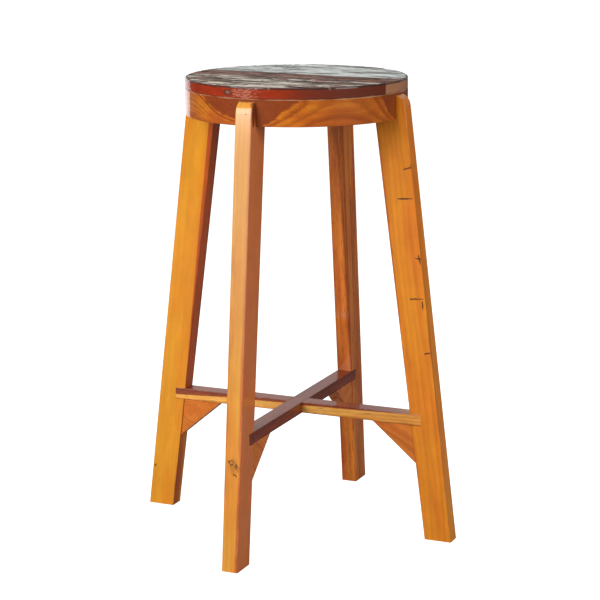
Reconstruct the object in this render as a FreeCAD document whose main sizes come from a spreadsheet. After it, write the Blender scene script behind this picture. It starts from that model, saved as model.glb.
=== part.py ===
import FreeCAD, Part
import os
import Sketcher
from FreeCAD import Placement, Rotation, Vector

# A round bar stool of solid wood: a seat of three boards on a ring of four curved segments,
# four splayed legs notched under that ring, and a crossed footrest propped by four gussets.
# Millimetres, +Z up, origin on the floor under the middle of the seat. The left leg stands
# at -X, the right leg at +X, the front leg at -Y and the back leg at +Y.

SIZES = {
    "seat_height": (750.0, "floor to the top of the seat"),
    "seat_radius": (179.0, "outside of the seat and of the ring below it"),
    "board_depth": (18.6, "thickness of the seat boards"),
    "board_turn": (-3.4, "how far the boards are turned from the left-right line, degrees"),
    "strip_near": (-38.0, "joint between the near board and the middle strip"),
    "strip_far": (22.0, "joint between the middle strip and the far board"),
    "joint_gap": (0.4, "open line between two pieces laid side by side"),
    "rim_easing": (1.4, "rounding of the seat's top edge"),
    "easing": (1.0, "rounding of the sanded edges"),
    "ring_depth": (41.8, "height of the ring under the boards"),
    "ring_width": (36.0, "radial width of the ring"),
    "housing_depth": (3.0, "how far a leg's head is let into the ring"),
    "leg_thick": (27.0, "thickness of a leg, across its broad faces"),
    "foot_reach": (275.5, "leg's outer face at the floor, from the middle"),
    "head_reach": (195.1, "leg's outer face at its shoulder, from the middle"),
    "foot_width": (45.5, "radial width of a leg at the floor"),
    "head_width": (52.6, "radial width of a leg at its shoulder"),
    "head_round": (20.0, "radius of the leg's rounded top corner"),
    "head_drop": (0.8, "top of a leg below the boards"),
    "shoulder_gap": (0.4, "glue line between a leg's shoulder and the ring"),
    "foot_spare": (3.0, "length left on a foot before it is cut to the floor"),
    "lean": (0.53, "sideways lean of every leg, degrees"),
    "rail_top": (210.6, "top of the footrest"),
    "rail_depth": (18.6, "height of a footrest rail"),
    "rail_reach": (222.0, "half the length of a footrest rail"),
    "rail_play": (0.15, "play over and under a rail in its leg"),
    "gusset_run": (68.0, "length of a gusset along its rail"),
    "gusset_drop": (64.0, "height of a gusset down its leg"),
    "gusset_thick": (24.5, "thickness of a gusset"),
    "gusset_play": (0.03, "glue line between a gusset and its leg"),
    "screw_shank": (4.0, "diameter of a screw's shank"),
    "screw_head": (8.0, "diameter of a screw's head"),
    "screw_tip": (4.0, "length of a screw's point"),
    "slot_span": (4.6, "width of the cross slot in a screw's head"),
    "slot_width": (1.2, "width of one arm of the cross slot"),
    "slot_depth": (1.8, "depth of the cross slot"),
    "long_screw": (45.0, "length of the screws through the ring"),
    "short_screw": (30.0, "length of the screws through the gussets"),
    "lap_screw": (15.0, "length of the screw through the crossing of the rails"),
    "head_cover": (0.5, "how far under a gusset's slope the rim of a screw's head stays"),
    "sink": (9.0, "how far the screws under the ring are sunk"),
    "dowel_size": (8.0, "diameter of a dowel"),
    "dowel_length": (30.0, "length of a dowel"),
    "pin_size": (2.6, "diameter of the pin in a leg's head"),
    "pin_length": (32.0, "length of that pin"),
    "pin_height": (709.0, "height of that pin"),
}
SIDES = {"front": -90.0, "right": 0.0, "back": 90.0, "left": 180.0}
RING_SIDES = {"front_right": -90.0, "back_right": 0.0, "back_left": 90.0, "front_left": 180.0}

RING_TOP = "(sizes.seat_height - sizes.board_depth)"
RING_BOTTOM = "(sizes.seat_height - sizes.board_depth - sizes.ring_depth)"
SHOULDER = f"({RING_BOTTOM} - sizes.shoulder_gap)"
HEAD_TOP = f"({RING_TOP} - sizes.head_drop)"
HOUSING = "(sizes.seat_radius - sizes.housing_depth)"
RAIL_BOTTOM = "(sizes.rail_top - sizes.rail_depth)"
NOTCH_TOP = "(sizes.rail_top + sizes.rail_play)"
NOTCH_BOTTOM = f"({RAIL_BOTTOM} - sizes.rail_play)"
HEAD_EDGE = 1  # the leg outline's rounded edge


def outer_face(height):
    """Formula for the reach of a leg's outer face at a height."""
    return f"(sizes.foot_reach - {height} * (sizes.foot_reach - sizes.head_reach) / {SHOULDER})"


def inner_face(height):
    """Formula for the reach of a leg's inner face at a height."""
    foot = "(sizes.foot_reach - sizes.foot_width)"
    head = "(sizes.head_reach - sizes.head_width)"
    return f"({foot} - {height} * ({foot} - {head}) / {SHOULDER})"


# ---------------------------------------------------------------- document and helpers


def new_sheet(doc):
    """The driving dimensions, one row each: name, number, meaning."""
    sheet = doc.addObject("Spreadsheet::Sheet", "sizes")
    for row, (alias, (size, meaning)) in enumerate(SIZES.items(), start=1):
        sheet.set(f"A{row}", alias)
        sheet.set(f"B{row}", str(size))
        sheet.set(f"C{row}", meaning)
        sheet.setAlias(f"B{row}", alias)
    return sheet


def number(formula):
    """What a formula over the sheet gives."""
    return float(sheet.evalExpression(formula))


def new_body(label):
    body = doc.addObject("PartDesign::Body", label)
    body.Label = label
    return body


def new_sketch(body, plane, lift="0"):
    """A sketch on one of the body's own origin planes, lifted along its normal."""
    sketch = body.newObject("Sketcher::SketchObject", f"{body.Name}_sketch")
    face = next(f for f in body.Origin.OriginFeatures if f.Role == plane)
    sketch.AttachmentSupport = [(face, "")]
    sketch.MapMode = "FlatFace"
    sketch.setExpression("AttachmentOffset.Base.z", lift)
    return sketch


def tie(sketch, edge, end, across, up):
    """Tie one end of an edge to the origin by two formulas."""
    for kind, axis, formula in (("DistanceX", -2, across), ("DistanceY", -1, up)):
        if formula == "0":
            sketch.addConstraint(Sketcher.Constraint("PointOnObject", edge, end, axis))
            continue
        place = sketch.addConstraint(Sketcher.Constraint(kind, -1, 1, edge, end, number(formula)))
        sketch.setExpression(f"Constraints[{place}]", formula)


def tie_across(sketch, edge, across):
    """Tie the start of an edge to the upright axis by one formula."""
    level = Sketcher.Constraint("DistanceX", -1, 1, edge, 1, number(across))
    place = sketch.addConstraint(level)
    sketch.setExpression(f"Constraints[{place}]", across)


def draw_outline(sketch, corners):
    """A closed outline of straight edges through corners given as pairs of formulas."""
    points = [Vector(number(across), number(up), 0) for across, up in corners]
    count = len(points)
    for i in range(count):
        sketch.addGeometry(Part.LineSegment(points[i], points[(i + 1) % count]))
    for i in range(count):
        sketch.addConstraint(Sketcher.Constraint("Coincident", i, 2, (i + 1) % count, 1))
    for i, (across, up) in enumerate(corners):
        tie(sketch, i, 1, across, up)


def new_pad(body, sketch, length, symmetric=False):
    pad = body.newObject("PartDesign::Pad", f"{body.Name}_pad")
    pad.Profile = sketch
    pad.SideType = "Symmetric" if symmetric else "One side"
    pad.setExpression("Length", length)
    body.Tip = pad
    return pad


def ease(body, feature, radius, wanted):
    """Round the feature's edges for which wanted(edge) holds."""
    doc.recompute()
    names = [f"Edge{i}" for i, edge in enumerate(feature.Shape.Edges, start=1) if wanted(edge)]
    rounding = body.newObject("PartDesign::Fillet", f"{body.Name}_easing")
    rounding.Base = (feature, names)
    rounding.setExpression("Radius", radius)
    body.Tip = rounding


def middle(edge):
    """A point half way along an edge."""
    return edge.valueAt((edge.FirstParameter + edge.LastParameter) / 2)


def cut_away(label, base, tools):
    """The base less its tools, as the finished piece."""
    tool = tools[0]
    if len(tools) > 1:
        tool = doc.addObject("Part::Compound", f"{label}_tools")
        tool.Links = tools
    piece = doc.addObject("Part::Cut", f"{label}_piece")
    piece.Base = base
    piece.Tool = tool
    piece.Label = label
    return piece


def turned(angle, place):
    """A placement carried round the middle of the stool."""
    return Placement(Vector(), Rotation(Vector(0, 0, 1), angle)) * place


def aimed(start, direction):
    """A placement at start that turns -Z to the direction."""
    return Placement(start, Rotation(Vector(0, 0, -1), direction))


# ---------------------------------------------------------------- fasteners


def new_screw(label, length):
    """A countersunk screw, its head at the origin and its point down: blank, then slotted."""
    body = new_body(label)
    sketch = new_sketch(body, "XZ_Plane")
    shank = "(sizes.screw_shank / 2)"
    head = "(sizes.screw_head / 2)"
    draw_outline(
        sketch,
        [
            ("0", "0"),
            (head, "0"),
            (shank, f"({shank} - {head})"),
            (shank, f"(sizes.screw_tip - {length})"),
            ("0", f"(-{length})"),
        ],
    )
    blank = body.newObject("PartDesign::Revolution", f"{label}_blank")
    blank.Profile = sketch
    blank.ReferenceAxis = (sketch, ["V_Axis"])
    blank.Angle = 360
    body.Tip = blank
    for arm in (("slot_span", "slot_width"), ("slot_width", "slot_span")):
        wide, deep = (f"sizes.{alias}" for alias in arm)
        cross = new_sketch(body, "XY_Plane")
        corners = ((-1, -1), (1, -1), (1, 1), (-1, 1))
        draw_outline(cross, [(f"({x} * {wide} / 2)", f"({y} * {deep} / 2)") for x, y in corners])
        slot = body.newObject("PartDesign::Pocket", f"{label}_slot")
        slot.Profile = cross
        slot.setExpression("Length", "sizes.slot_depth")
        body.Tip = slot
    return body, blank


def new_peg(label, diameter, length):
    """A plain round peg, its end at the origin and its length downwards."""
    body = new_body(label)
    sketch = new_sketch(body, "XY_Plane")
    sketch.addGeometry(Part.Circle(Vector(), Vector(0, 0, 1), number(diameter) / 2))
    sketch.addConstraint(Sketcher.Constraint("Coincident", 0, 3, -1, 1))
    size = sketch.addConstraint(Sketcher.Constraint("Diameter", 0, number(diameter)))
    sketch.setExpression(f"Constraints[{size}]", diameter)
    pad = new_pad(body, sketch, length)
    pad.Reversed = True
    return body


def new_group(label, shape, places):
    """One node of equal fasteners, each a solid of its own."""
    group = doc.addObject("Part::Feature", label)
    group.Shape = Part.makeCompound([shape.transformed(place.toMatrix()) for place in places])
    group.Label = label
    return group


def ring_screw_places():
    """Two screws in each ring segment, from below into the boards."""
    radius = number("sizes.seat_radius - sizes.ring_width / 2")
    height = number(f"{RING_BOTTOM} + sizes.sink")
    base = aimed(Vector(radius, 0, height), Vector(0, 0, 1))
    return [turned(side + offset, base) for side in RING_SIDES.values() for offset in (28, 62)]


def head_screw_places():
    """Two screws at each leg's head, from inside the ring, one in each segment's end."""
    radius = number("sizes.seat_radius - sizes.ring_width + 1")
    height = number(f"{RING_BOTTOM} + sizes.ring_depth / 2")
    spread = number("sizes.leg_thick / 4")
    places = []
    for angle in SIDES.values():
        for side in (-1, 1):
            start = Vector(radius, side * spread, height)
            places.append(turned(angle, aimed(start, Vector(1, 0, 0))))
    return places


def head_pin_places():
    """One pin through the outer face of each leg's head."""
    reach = number(outer_face("sizes.pin_height"))
    start = Vector(reach, 0, number("sizes.pin_height"))
    return [turned(angle, aimed(start, Vector(-1, 0, 0))) for angle in SIDES.values()]


def board_dowel_places():
    """Dowels across the two joints of the seat."""
    height = number("sizes.seat_height - sizes.board_depth / 2")
    half = number("sizes.dowel_length / 2")
    spread = number("sizes.seat_radius * 0.55")
    places = []
    for joint in ("sizes.strip_near", "sizes.strip_far"):
        for along in (-spread, 0, spread):
            start = Vector(along, number(joint) - half, height)
            places.append(turned(number("sizes.board_turn"), aimed(start, Vector(0, 1, 0))))
    return places


def rail_dowel_places():
    """A dowel from each end of the footrest into its leg."""
    height = number("sizes.rail_top - sizes.rail_depth / 2")
    start = Vector(number("sizes.rail_reach - sizes.dowel_length / 2"), 0, height)
    return [turned(angle, aimed(start, Vector(1, 0, 0))) for angle in SIDES.values()]


def gusset_screw_places(upwards):
    """One screw through each gusset's slope, up into the rail or out into the leg, its head sunk
    until the whole of its rim is under the slope."""
    low = f"({RAIL_BOTTOM} - sizes.gusset_drop)"
    tip_reach = number(f"{inner_face(RAIL_BOTTOM)} - sizes.gusset_play - sizes.gusset_run")
    tip = Vector(tip_reach, 0, number(RAIL_BOTTOM))
    toe = Vector(number(f"{inner_face(low)} - sizes.gusset_play"), 0, number(low))
    run = toe.x - tip.x
    drop = tip.z - toe.z
    radius = number("sizes.screw_head / 2")
    cover = number("sizes.head_cover")
    if upwards:
        direction = Vector(0, 0, 1)
        start = tip + (toe - tip) * 0.34 + direction * (radius * drop / run + cover)
    else:
        direction = Vector(1, 0, 0)
        start = tip + (toe - tip) * 0.70 + direction * (radius * run / drop + cover)
    return [turned(angle, aimed(start, direction)) for angle in SIDES.values()]


def lap_screw_places():
    """One screw from below into the crossing of the two rails, short of their top."""
    start = Vector(0, 0, number(f"{RAIL_BOTTOM} + 0.2"))
    return [aimed(start, Vector(0, 0, 1))]


def new_well(label, places, length):
    """Round wells over sunk screw heads, as one cutting shape."""
    radius = number("sizes.screw_head / 2")
    well = Part.makeCylinder(radius, length)
    return new_group(label, well, places)


# ---------------------------------------------------------------- wooden pieces


def new_board(label, near, far):
    """A seat board between two joints. A side with no joint runs out to the rim."""
    body = new_body(label)
    sketch = new_sketch(body, "XY_Plane", RING_TOP)
    radius = number("sizes.seat_radius")
    levels = [number(side) for side in (near, far) if side]
    halves = [(radius**2 - level**2) ** 0.5 for level in levels]
    centre = Part.Circle(Vector(), Vector(0, 0, 1), radius)
    for level, half in zip(levels, halves, strict=True):
        sketch.addGeometry(Part.LineSegment(Vector(-half, level, 0), Vector(half, level, 0)))
    starts = [centre.parameter(Vector(half, level, 0)) for level, half in zip(levels, halves)]
    ends = [centre.parameter(Vector(-half, level, 0)) for level, half in zip(levels, halves)]
    if near and far:
        sweeps = [(starts[0], starts[1]), (ends[1], ends[0])]
        meets = [(0, 2, 2, 1), (1, 2, 2, 2), (1, 1, 3, 1), (0, 1, 3, 2)]
    elif near:
        sweeps = [(starts[0], ends[0])]
        meets = [(0, 2, 1, 1), (0, 1, 1, 2)]
    else:
        sweeps = [(ends[0], starts[0])]
        meets = [(0, 1, 1, 1), (0, 2, 1, 2)]
    for first, last in sweeps:
        sketch.addGeometry(Part.ArcOfCircle(centre, first, last))
    for line, line_end, arc, arc_end in meets:
        sketch.addConstraint(Sketcher.Constraint("Coincident", line, line_end, arc, arc_end))
    for arc in range(len(levels), len(levels) + len(sweeps)):
        sketch.addConstraint(Sketcher.Constraint("Coincident", arc, 3, -1, 1))
        place = sketch.addConstraint(Sketcher.Constraint("Radius", arc, radius))
        sketch.setExpression(f"Constraints[{place}]", "sizes.seat_radius")
    for line, side in enumerate(side for side in (near, far) if side):
        sketch.addConstraint(Sketcher.Constraint("Horizontal", line))
        level = Sketcher.Constraint("DistanceY", -1, 1, line, 1, number(side))
        place = sketch.addConstraint(level)
        sketch.setExpression(f"Constraints[{place}]", side)
    pad = new_pad(body, sketch, "sizes.board_depth")
    top = number("sizes.seat_height")

    def on_rim(edge):
        return abs(middle(edge).z - top) < 0.01 and isinstance(edge.Curve, Part.Circle)

    ease(body, pad, "sizes.rim_easing", on_rim)
    body.setExpression("Placement.Rotation.Angle", "sizes.board_turn")
    return body


def new_ring_blank(side, angle):
    """A quarter of the ring, from the middle of one leg to the middle of the next."""
    body = new_body(f"ring_{side}_blank")
    sketch = new_sketch(body, "XY_Plane", RING_BOTTOM)
    outer = number("sizes.seat_radius")
    inner = number("sizes.seat_radius - sizes.ring_width")
    gap = number("sizes.joint_gap / 2")
    for radius in (outer, inner):
        circle = Part.Circle(Vector(), Vector(0, 0, 1), radius)
        run = (radius**2 - gap**2) ** 0.5
        first = circle.parameter(Vector(run, gap, 0))
        last = circle.parameter(Vector(gap, run, 0))
        sketch.addGeometry(Part.ArcOfCircle(circle, first, last))
    sketch.addGeometry(Part.LineSegment(Vector(inner, gap, 0), Vector(outer, gap, 0)))
    sketch.addGeometry(Part.LineSegment(Vector(gap, inner, 0), Vector(gap, outer, 0)))
    for arc, formula in ((0, "sizes.seat_radius"), (1, "sizes.seat_radius - sizes.ring_width")):
        sketch.addConstraint(Sketcher.Constraint("Coincident", arc, 3, -1, 1))
        place = sketch.addConstraint(Sketcher.Constraint("Radius", arc, number(formula)))
        sketch.setExpression(f"Constraints[{place}]", formula)
        sketch.addConstraint(Sketcher.Constraint("Coincident", 2, 2 - arc, arc, 1))
        sketch.addConstraint(Sketcher.Constraint("Coincident", 3, 2 - arc, arc, 2))
    for line, kind, level in ((2, "Horizontal", "DistanceY"), (3, "Vertical", "DistanceX")):
        sketch.addConstraint(Sketcher.Constraint(kind, line))
        place = sketch.addConstraint(Sketcher.Constraint(level, -1, 1, line, 1, gap))
        sketch.setExpression(f"Constraints[{place}]", "sizes.joint_gap / 2")
    pad = new_pad(body, sketch, "sizes.ring_depth")
    floor = number(RING_BOTTOM)

    def under_edge(edge):
        return abs(middle(edge).z - floor) < 0.01 and isinstance(edge.Curve, Part.Circle)

    ease(body, pad, "sizes.easing", under_edge)
    body.Placement = turned(angle, Placement())
    return body


def new_leg_blank(side, angle):
    """A tapered leg with a rounded head that laps outside the ring and a notch for its rail."""
    body = new_body(f"leg_{side}_blank")
    sketch = new_sketch(body, "XZ_Plane")
    foot = "(-sizes.foot_spare)"
    bend = f"({HEAD_TOP} - sizes.head_round)"
    corners = [
        (outer_face(foot), foot),
        (outer_face(bend), bend),
        (HOUSING, HEAD_TOP),
        (HOUSING, SHOULDER),
        (inner_face(SHOULDER), SHOULDER),
        (inner_face(NOTCH_TOP), NOTCH_TOP),
        ("sizes.rail_reach", NOTCH_TOP),
        ("sizes.rail_reach", NOTCH_BOTTOM),
        (inner_face(NOTCH_BOTTOM), NOTCH_BOTTOM),
        (inner_face(foot), foot),
    ]
    points = [Vector(number(across), number(up), 0) for across, up in corners]
    arc = head_arc(points[0], points[1], points[2].x)
    points[2] = arc.EndPoint
    count = len(points)
    for i in range(count):
        edge = arc if i == HEAD_EDGE else Part.LineSegment(points[i], points[(i + 1) % count])
        sketch.addGeometry(edge)
    for i in range(count):
        kind = "Tangent" if i + 1 == HEAD_EDGE else "Coincident"
        sketch.addConstraint(Sketcher.Constraint(kind, i, 2, (i + 1) % count, 1))
    place = sketch.addConstraint(Sketcher.Constraint("Radius", HEAD_EDGE, arc.Radius))
    sketch.setExpression(f"Constraints[{place}]", "sizes.head_round")
    for i, (across, up) in enumerate(corners):
        if i == HEAD_EDGE + 1:
            tie_across(sketch, i, across)
        else:
            tie(sketch, i, 1, across, up)
    pad = new_pad(body, sketch, "sizes.leg_thick", symmetric=True)
    half = number("sizes.leg_thick / 2")
    foot_level = number(foot)

    def long_arris(edge):
        at = middle(edge)
        on_side = abs(abs(at.y) - half) < 0.01
        level = abs(at.z - foot_level) < 0.01
        faces = (number(outer_face(f"({at.z})")), number(inner_face(f"({at.z})")))
        on_face = any(abs(at.x - face) < 0.05 for face in faces)
        on_head = isinstance(edge.Curve, Part.Circle)
        return on_side and not level and (on_face or on_head)

    ease(body, pad, "sizes.easing", long_arris)
    pivot = Vector(0, 0, number("sizes.rail_top"))
    leaning = Placement(Vector(), Rotation(Vector(1, 0, 0), number("sizes.lean")), pivot)
    body.Placement = turned(angle, leaning)
    return body


def head_arc(foot, bend, tongue_reach):
    """The rounded corner that leaves the outer face smoothly and ends at the tongue's back."""
    radius = number("sizes.head_round")
    rise = (bend - foot).normalize()
    centre = bend - Vector(rise.y, -rise.x, 0) * radius
    top = centre.y + (radius**2 - (tongue_reach - centre.x) ** 2) ** 0.5
    circle = Part.Circle(centre, Vector(0, 0, 1), radius)
    first = circle.parameter(bend)
    last = circle.parameter(Vector(tongue_reach, top, 0))
    return Part.ArcOfCircle(circle, first, last)


def new_floor_slab():
    """The space between the floor and the boards, which trims the feet flat."""
    slab = doc.addObject("Part::Box", "floor_slab")
    slab.setExpression("Length", "2 * (sizes.foot_reach + sizes.foot_width)")
    slab.setExpression("Width", "2 * (sizes.foot_reach + sizes.foot_width)")
    slab.setExpression("Height", RING_TOP)
    slab.setExpression("Placement.Base.x", "-(sizes.foot_reach + sizes.foot_width)")
    slab.setExpression("Placement.Base.y", "-(sizes.foot_reach + sizes.foot_width)")
    return slab


def trim_leg(side, blank, slab):
    trimmed = doc.addObject("Part::Common", f"leg_{side}_trimmed")
    trimmed.Base = blank
    trimmed.Tool = slab
    return trimmed


def new_rail_blank(label, notch_up, angle):
    """A footrest rail with half its depth notched away at the crossing."""
    body = new_body(f"{label}_blank")
    sketch = new_sketch(body, "XZ_Plane")
    end = "sizes.rail_reach"
    cheek = "(sizes.leg_thick / 2)"
    mid = "(sizes.rail_top - sizes.rail_depth / 2)"
    open_edge, closed_edge = ("sizes.rail_top", RAIL_BOTTOM)
    if not notch_up:
        open_edge, closed_edge = closed_edge, open_edge
    draw_outline(
        sketch,
        [
            (f"(-{end})", closed_edge),
            (end, closed_edge),
            (end, open_edge),
            (cheek, open_edge),
            (cheek, mid),
            (f"(-{cheek})", mid),
            (f"(-{cheek})", open_edge),
            (f"(-{end})", open_edge),
        ],
    )
    pad = new_pad(body, sketch, "sizes.leg_thick", symmetric=True)
    half = number("sizes.leg_thick / 2")
    levels = (number("sizes.rail_top"), number(RAIL_BOTTOM))

    def long_arris(edge):
        at = middle(edge)
        on_side = abs(abs(at.y) - half) < 0.01
        return on_side and min(abs(at.z - level) for level in levels) < 0.01

    ease(body, pad, "sizes.easing", long_arris)
    body.Placement = turned(angle, Placement())
    return body


def new_gusset_blank(side, angle):
    """A triangular bracket in the corner under a rail."""
    body = new_body(f"gusset_{side}_blank")
    sketch = new_sketch(body, "XZ_Plane")
    corner = f"({inner_face(RAIL_BOTTOM)} - sizes.gusset_play)"
    low = f"({RAIL_BOTTOM} - sizes.gusset_drop)"
    draw_outline(
        sketch,
        [
            (corner, RAIL_BOTTOM),
            (f"({corner} - sizes.gusset_run)", RAIL_BOTTOM),
            (f"({inner_face(low)} - sizes.gusset_play)", low),
        ],
    )
    pad = new_pad(body, sketch, "sizes.gusset_thick", symmetric=True)
    half = number("sizes.gusset_thick / 2")
    reach = number(corner)
    top = number(RAIL_BOTTOM)

    def slope_arris(edge):
        at = middle(edge)
        on_side = abs(abs(at.y) - half) < 0.01
        return on_side and at.x < reach - half and at.z < top - half

    ease(body, pad, "sizes.easing", slope_arris)
    body.Placement = turned(angle, Placement())
    return body


# ---------------------------------------------------------------- assembly


def export_pieces(pieces):
    """Check every object and every piece, then write one STEP file for each piece."""
    for item in doc.Objects:
        if {"Invalid", "Error"} & set(item.State):
            raise RuntimeError(f"{item.Name} failed: {item.State}")
    for piece in pieces:
        if piece.Shape.isNull() or not piece.Shape.isValid():
            raise RuntimeError(f"{piece.Label} has no valid shape")
    os.makedirs("parts", exist_ok=True)
    for piece in pieces:
        piece.Shape.exportStep(f"parts/{piece.Label}.step")
        print(piece.Label, round(piece.Shape.Volume), len(piece.Shape.Solids))


doc = FreeCAD.newDocument("bar_stool")
sheet = new_sheet(doc)
doc.recompute()

long_screw, long_blank = new_screw("long_screw", "sizes.long_screw")
short_screw, short_blank = new_screw("short_screw", "sizes.short_screw")
lap_screw, lap_blank = new_screw("lap_screw", "sizes.lap_screw")
dowel = new_peg("dowel", "sizes.dowel_size", "sizes.dowel_length")
pin = new_peg("head_pin", "sizes.pin_size", "sizes.pin_length")
doc.recompute()

ring_places = ring_screw_places()
head_places = head_screw_places()
rail_places = gusset_screw_places(upwards=True)
leg_places = gusset_screw_places(upwards=False)
lap_places = lap_screw_places()

ring_screws = new_group("ring_to_board_screws", long_screw.Shape, ring_places)
head_screws = new_group("ring_to_leg_screws", long_screw.Shape, head_places)
head_pins = new_group("leg_head_pins", pin.Shape, head_pin_places())
board_dowels = new_group("board_dowels", dowel.Shape, board_dowel_places())
rail_dowels = new_group("rail_end_dowels", dowel.Shape, rail_dowel_places())
rail_screws = new_group("gusset_to_rail_screws", short_screw.Shape, rail_places)
leg_screws = new_group("gusset_to_leg_screws", short_screw.Shape, leg_places)
crossing_screw = new_group("rail_crossing_screw", lap_screw.Shape, lap_places)

ring_holes = new_group("ring_screw_holes", long_blank.Shape, ring_places)
head_holes = new_group("head_screw_holes", long_blank.Shape, head_places)
rail_holes = new_group("rail_screw_holes", short_blank.Shape, rail_places)
leg_holes = new_group("leg_screw_holes", short_blank.Shape, leg_places)
crossing_hole = new_group("crossing_screw_hole", lap_blank.Shape, lap_places)
ring_wells = new_well("ring_screw_wells", ring_places, number("sizes.sink * 2"))
head_wells = new_well("head_screw_wells", head_places, number("sizes.sink"))
rail_wells = new_well("rail_screw_wells", rail_places, number("sizes.sink * 2"))
leg_wells = new_well("leg_screw_wells", leg_places, number("sizes.sink * 2"))

slab = new_floor_slab()
leg_blanks = {side: new_leg_blank(side, angle) for side, angle in SIDES.items()}
trimmed_legs = {side: trim_leg(side, blank, slab) for side, blank in leg_blanks.items()}
all_legs = doc.addObject("Part::Compound", "all_legs")
all_legs.Links = list(trimmed_legs.values())

pieces = [ring_screws, head_screws, head_pins, board_dowels]
pieces += [rail_dowels, rail_screws, leg_screws, crossing_screw]
for label, near, far in (
    ("seat_board_near", None, "sizes.strip_near - sizes.joint_gap / 2"),
    ("seat_strip_middle", "sizes.strip_near + sizes.joint_gap / 2",
     "sizes.strip_far - sizes.joint_gap / 2"),
    ("seat_board_far", "sizes.strip_far + sizes.joint_gap / 2", None),
):
    pieces.append(cut_away(label, new_board(f"{label}_blank", near, far), [board_dowels, ring_holes]))
for side, angle in RING_SIDES.items():
    tools = [all_legs, ring_holes, ring_wells, head_holes, head_wells, head_pins]
    pieces.append(cut_away(f"ring_{side}", new_ring_blank(side, angle), tools))
for side, trimmed in trimmed_legs.items():
    tools = [head_holes, head_pins, rail_dowels, leg_holes]
    pieces.append(cut_away(f"leg_{side}", trimmed, tools))
for label, notch_up, angle in (("rail_left_right", True, 0.0), ("rail_front_back", False, 90.0)):
    tools = [rail_dowels, rail_holes, crossing_hole]
    pieces.append(cut_away(label, new_rail_blank(label, notch_up, angle), tools))
for side, angle in SIDES.items():
    tools = [rail_holes, leg_holes, rail_wells, leg_wells]
    pieces.append(cut_away(f"gusset_{side}", new_gusset_blank(side, angle), tools))

doc.recompute()
export_pieces(pieces)
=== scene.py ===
import math

import bmesh
import bpy
from mathutils import Matrix, Vector, noise


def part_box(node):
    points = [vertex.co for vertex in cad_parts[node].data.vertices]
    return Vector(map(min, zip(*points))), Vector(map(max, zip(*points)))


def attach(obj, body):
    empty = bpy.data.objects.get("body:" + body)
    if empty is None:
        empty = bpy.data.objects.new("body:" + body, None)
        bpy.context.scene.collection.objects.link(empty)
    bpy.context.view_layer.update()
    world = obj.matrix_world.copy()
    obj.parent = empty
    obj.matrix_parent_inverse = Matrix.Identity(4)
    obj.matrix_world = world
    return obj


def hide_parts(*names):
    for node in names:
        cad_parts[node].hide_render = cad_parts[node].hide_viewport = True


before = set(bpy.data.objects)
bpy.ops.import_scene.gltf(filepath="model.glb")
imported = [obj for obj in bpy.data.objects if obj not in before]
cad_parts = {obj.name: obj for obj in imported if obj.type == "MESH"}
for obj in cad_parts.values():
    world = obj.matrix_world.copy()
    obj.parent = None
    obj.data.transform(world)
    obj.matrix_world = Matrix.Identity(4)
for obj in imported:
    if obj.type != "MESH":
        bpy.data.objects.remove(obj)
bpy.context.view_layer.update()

# ---------------------------------------------------------------- sizes read from the frame

LEGS = {"front": -90.0, "right": 0.0, "back": 90.0, "left": 180.0}
RING = {"front_right": -45.0, "back_right": 45.0, "back_left": 135.0, "front_left": -135.0}
BOARD_TURN = math.radians(-3.4)

near_low, near_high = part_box("seat_board_near")
SEAT_TOP = near_high.z
BOARD_FLOOR = near_low.z
SEAT_RADIUS = -near_low.y
RING_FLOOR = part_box("ring_front_right")[0].z

# ---------------------------------------------------------------- node helpers


def add(tree, kind, inputs=None, **settings):
    """A shader node with its settings and its inputs, each a value or another node's output."""
    made = tree.nodes.new(kind)
    for name, value in settings.items():
        setattr(made, name, value)
    for name, value in (inputs or {}).items():
        socket = made.inputs[name]
        if isinstance(value, bpy.types.NodeSocket):
            tree.links.new(value, socket)
        else:
            socket.default_value = value
    return made


def calc(tree, operation, first, second=0.0, third=0.0, clamp=False):
    """One sum on numbers."""
    inputs = {0: first, 1: second, 2: third}
    return add(tree, "ShaderNodeMath", inputs, operation=operation, use_clamp=clamp).outputs[0]


def turn(tree, operation, first, second=(0, 0, 0), scale=None):
    """One sum on vectors."""
    inputs = {0: first, 1: second}
    if scale is not None:
        inputs["Scale"] = scale
    made = add(tree, "ShaderNodeVectorMath", inputs, operation=operation)
    return made.outputs["Value" if operation in ("LENGTH", "DOT_PRODUCT") else "Vector"]


def blend(tree, amount, first, second, kind="MIX"):
    """Two colours mixed by an amount."""
    made = add(tree, "ShaderNodeMix", data_type="RGBA", blend_type=kind)
    for place, value in ((0, amount), (6, first), (7, second)):
        if isinstance(value, bpy.types.NodeSocket):
            tree.links.new(value, made.inputs[place])
        else:
            made.inputs[place].default_value = value
    return made.outputs[2]


def step(tree, value, low, high):
    """A smooth step from 0 at low to 1 at high."""
    made = add(tree, "ShaderNodeMapRange", {"Value": value}, interpolation_type="SMOOTHSTEP")
    for name, edge in (("From Min", low), ("From Max", high)):
        if isinstance(edge, bpy.types.NodeSocket):
            tree.links.new(edge, made.inputs[name])
        else:
            made.inputs[name].default_value = edge
    return made.outputs["Result"]


def grain_noise(tree, place, across, along, detail=2.0, rough=0.5, kind="Fac"):
    """Noise drawn out along the grain: features per metre across it and along it."""
    stretched = turn(tree, "MULTIPLY", place, (across, across, along))
    inputs = {"Vector": stretched, "Scale": 1.0, "Detail": detail, "Roughness": rough}
    return add(tree, "ShaderNodeTexNoise", inputs, noise_dimensions="3D").outputs[kind]


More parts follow.
